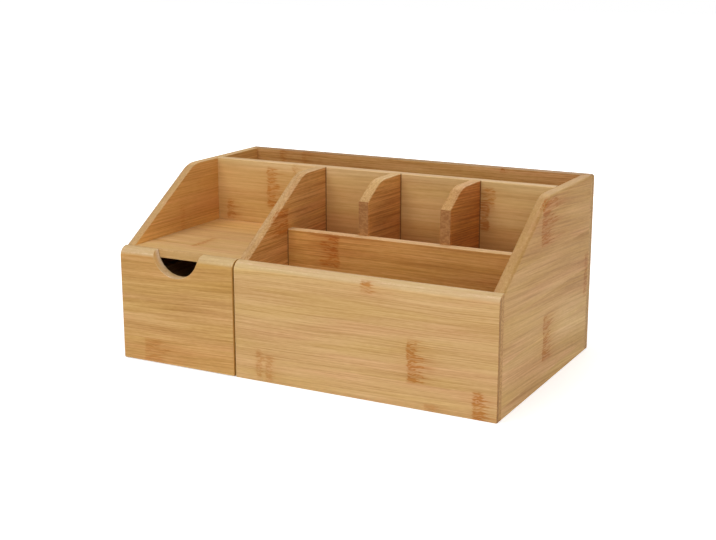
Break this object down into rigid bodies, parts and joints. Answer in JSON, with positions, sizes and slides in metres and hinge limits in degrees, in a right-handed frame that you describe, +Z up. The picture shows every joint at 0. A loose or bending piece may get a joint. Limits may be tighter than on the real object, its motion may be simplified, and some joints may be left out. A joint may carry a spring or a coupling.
{
  "type": "desk organizer with drawer",
  "caption": "Wide low wooden desk organizer with stepped open bays, sloped side walls, a long rear tray and a small pull-out drawer with a half-round finger notch under a shelf.",
  "frame": {"origin": "on the table, under the middle of the bounding box, with the drawer shut", "axes": "+X to the right along the front, +Y from the front to the back, +Z up"},
  "size_m": [0.33, 0.2056, 0.149],
  "materials": {
    "bamboo_board": "fine-sanded laminated bamboo with a thin satin lacquer",
    "bamboo_inner_board": "fine-sanded laminated bamboo, thinly sealed",
    "dowel_wood": "plain fluted hardwood dowel, glued in"
  },
  "bodies": {
    "carcass": {"base_panel": "bamboo_inner_board", "left_side_panel": "bamboo_board", "right_side_panel": "bamboo_board", "back_panel": "bamboo_board", "rear_divider": "bamboo_board", "partition": "bamboo_board", "front_panel": "bamboo_board", "shelf": "bamboo_board", "low_divider": "bamboo_board", "short_divider_left": "bamboo_board", "short_divider_right": "bamboo_board", "front_dowels": "dowel_wood", "back_dowels": "dowel_wood"},
    "drawer": {"drawer_front": "bamboo_board", "drawer_left_side": "bamboo_inner_board", "drawer_right_side": "bamboo_inner_board", "drawer_back": "bamboo_inner_board", "drawer_bottom": "bamboo_inner_board", "drawer_dowels": "dowel_wood"}
  },
  "joints": [
    {"name": "drawer_slide", "type": "slide", "parent": "carcass", "child": "drawer", "axis": [0, -1, 0], "range_m": [0, 0.1]}
  ]
}
